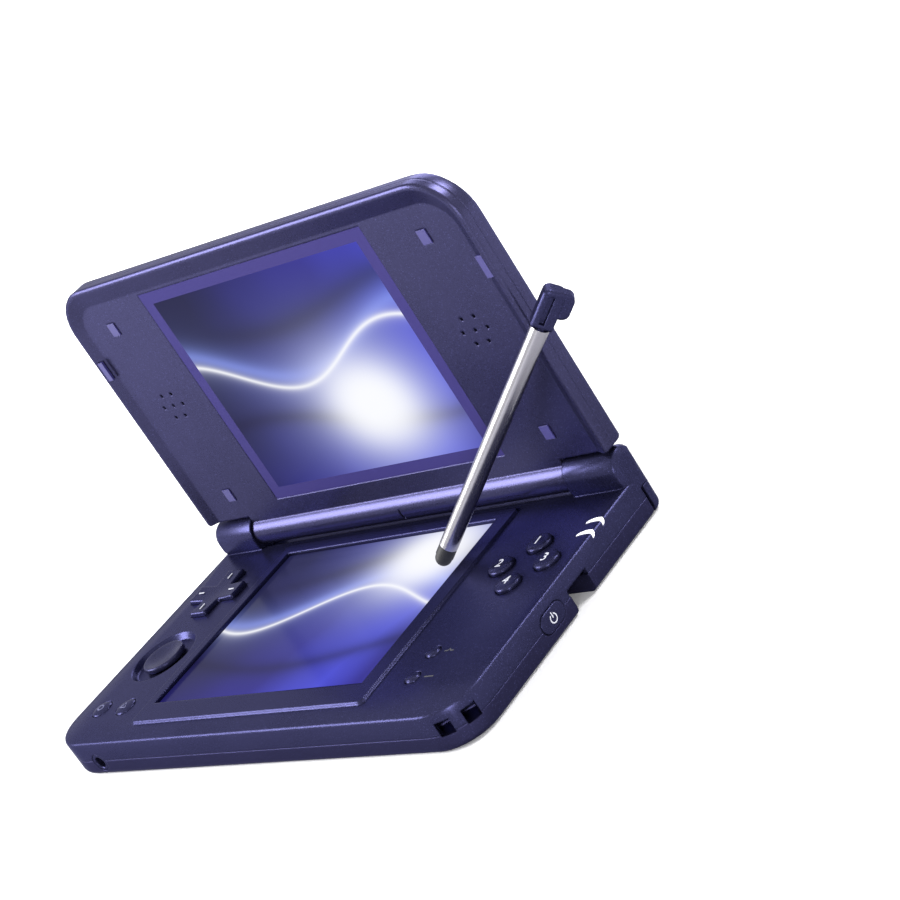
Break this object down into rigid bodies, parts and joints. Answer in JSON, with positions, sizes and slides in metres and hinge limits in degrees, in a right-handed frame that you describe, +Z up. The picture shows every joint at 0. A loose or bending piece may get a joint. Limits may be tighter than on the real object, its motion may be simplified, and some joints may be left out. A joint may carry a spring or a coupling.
{
  "type": "clamshell handheld game console",
  "caption": "Clamshell handheld game console with a touch screen base, a folding screen lid, deck controls and a stylus leaning on the lid",
  "frame": {"origin": "centre of the base's underside", "axes": "+X along the hinge towards the face buttons, +Y from the front edge to the hinge, +Z up"},
  "size_m": [0.1745, 0.093, 0.1031],
  "materials": {
    "shell": "satin metallic-look midnight blue paint on moulded plastic",
    "keys": "satin dark blue plastic",
    "rubber": "matt moulded rubber",
    "screen_glass": "clear glossy window over a blue violet picture",
    "dark_plastic": "matt black plastic",
    "board": "green solder mask",
    "steel": "brushed and plain steel",
    "light_pipe": "milky white plastic"
  },
  "bodies": {
    "base": {"base_lower_shell": "shell", "base_upper_shell": "shell", "touch_panel": "screen_glass", "lower_display": "dark_plastic", "main_board": "board", "control_board": "board", "processor_shield": "steel", "battery": "dark_plastic", "dpad_membrane": "rubber", "slide_pad_housing": "dark_plastic", "face_membrane": "rubber", "tact_switches": "steel", "audio_jack": "dark_plastic", "charging_port": "steel", "card_reader": "steel", "status_light_pipes": "light_pipe", "strap_post": "shell", "case_screws": "steel", "hinge_pins": "steel"},
    "hinge_module": {"hinge_cartridges": "steel"},
    "lid": {"lid_outer_shell": "shell", "lid_bezel": "shell", "upper_window": "screen_glass", "upper_display": "dark_plastic", "speakers": "dark_plastic", "corner_bumpers": "rubber", "rim_stops": "rubber", "microphone": "steel", "display_flex": "board"},
    "stylus": {"stylus_head": "shell", "stylus_shaft": "steel", "stylus_tip": "rubber"},
    "direction_pad": {"dpad": "keys"},
    "pad_pivot": {"dpad_pivot": "keys"},
    "slide_pad": {"slide_pad_cap": "keys"},
    "slide_carriage": {"slide_pad_carriage": "dark_plastic"},
    "right_button": {"button_right": "keys"},
    "bottom_button": {"button_bottom": "keys"},
    "top_button": {"button_top": "keys"},
    "left_button": {"button_left": "keys"},
    "start": {"start_button": "keys"},
    "select": {"select_button": "keys"},
    "menu": {"menu_button": "keys"},
    "home": {"home_button": "keys"},
    "left_shoulder": {"shoulder_button_left": "shell"},
    "right_shoulder": {"shoulder_button_right": "shell"},
    "power": {"power_button": "shell"},
    "volume": {"volume_rocker": "shell"}
  },
  "joints": [
    {"name": "lid_fold", "type": "hinge", "parent": "base", "child": "hinge_module", "pos_m": [0, 0.0413, 0.0153], "axis": [-1, 0, 0], "range_deg": [-90, 0]},
    {"name": "lid_tilt", "type": "hinge", "parent": "hinge_module", "child": "lid", "pos_m": [0, 0.0413, 0.0153], "axis": [-1, 0, 0], "range_deg": [0, 65]},
    {"name": "stylus_lay_down", "type": "hinge", "parent": "base", "child": "stylus", "pos_m": [0.06938, 0.00398, -0.03916], "axis": [0.6351, 0.7122, 0.2991], "range_deg": [0, 81.1]},
    {"name": "press_right_button", "type": "slide", "parent": "base", "child": "right_button", "axis": [0, 0, -1], "range_m": [0, 0.0005], "stiffness_N_per_m": 700, "springref_m": -0.0005},
    {"name": "press_bottom_button", "type": "slide", "parent": "base", "child": "bottom_button", "axis": [0, 0, -1], "range_m": [0, 0.0005], "stiffness_N_per_m": 700, "springref_m": -0.0005},
    {"name": "press_top_button", "type": "slide", "parent": "base", "child": "top_button", "axis": [0, 0, -1], "range_m": [0, 0.0005], "stiffness_N_per_m": 700, "springref_m": -0.0005},
    {"name": "press_left_button", "type": "slide", "parent": "base", "child": "left_button", "axis": [0, 0, -1], "range_m": [0, 0.0005], "stiffness_N_per_m": 700, "springref_m": -0.0005},
    {"name": "press_start", "type": "slide", "parent": "base", "child": "start", "axis": [0, 0, -1], "range_m": [0, 0.0005], "stiffness_N_per_m": 700, "springref_m": -0.0005},
    {"name": "press_select", "type": "slide", "parent": "base", "child": "select", "axis": [0, 0, -1], "range_m": [0, 0.0005], "stiffness_N_per_m": 700, "springref_m": -0.0005},
    {"name": "press_menu", "type": "slide", "parent": "base", "child": "menu", "axis": [0, 0, -1], "range_m": [0, 0.0005], "stiffness_N_per_m": 700, "springref_m": -0.0005},
    {"name": "press_home", "type": "slide", "parent": "base", "child": "home", "axis": [0, 0, -1], "range_m": [0, 0.0005], "stiffness_N_per_m": 700, "springref_m": -0.0005},
    {"name": "dpad_left_right", "type": "hinge", "parent": "base", "child": "pad_pivot", "pos_m": [-0.0635, 0.0163, 0.0093], "axis": [0, 1, 0], "range_deg": [-2, 2], "stiffness_Nm_per_rad": 0.35},
    {"name": "dpad_up_down", "type": "hinge", "parent": "pad_pivot", "child": "direction_pad", "pos_m": [-0.0635, 0.0163, 0.0093], "axis": [1, 0, 0], "range_deg": [-2, 2], "stiffness_Nm_per_rad": 0.35},
    {"name": "slide_pad_x", "type": "slide", "parent": "base", "child": "slide_carriage", "axis": [1, 0, 0], "range_m": [-0.002, 0.002], "stiffness_N_per_m": 80},
    {"name": "slide_pad_y", "type": "slide", "parent": "slide_carriage", "child": "slide_pad", "axis": [0, 1, 0], "range_m": [-0.002, 0.002], "stiffness_N_per_m": 80},
    {"name": "press_power", "type": "slide", "parent": "base", "child": "power", "axis": [-1, 0, 0], "range_m": [0, 0.0004], "stiffness_N_per_m": 700, "springref_m": -0.0005},
    {"name": "volume_rock", "type": "hinge", "parent": "base", "child": "volume", "pos_m": [-0.0779, -0.0095, 0.0056], "axis": [0, 0, 1], "range_deg": [-3, 3], "stiffness_Nm_per_rad": 0.3},
    {"name": "press_left_shoulder", "type": "hinge", "parent": "base", "child": "left_shoulder", "pos_m": [-0.079, 0.042, 0.004], "axis": [0, 0, -1], "range_deg": [0, 2], "stiffness_Nm_per_rad": 1.2, "springref_deg": -1.15},
    {"name": "press_right_shoulder", "type": "hinge", "parent": "base", "child": "right_shoulder", "pos_m": [0.079, 0.042, 0.004], "axis": [0, 0, 1], "range_deg": [0, 2], "stiffness_Nm_per_rad": 1.2, "springref_deg": -1.15}
  ],
  "couplings": [
    {"joint": "stylus_lay_down", "follows": "lid_fold", "ratio": -0.89589}
  ]
}
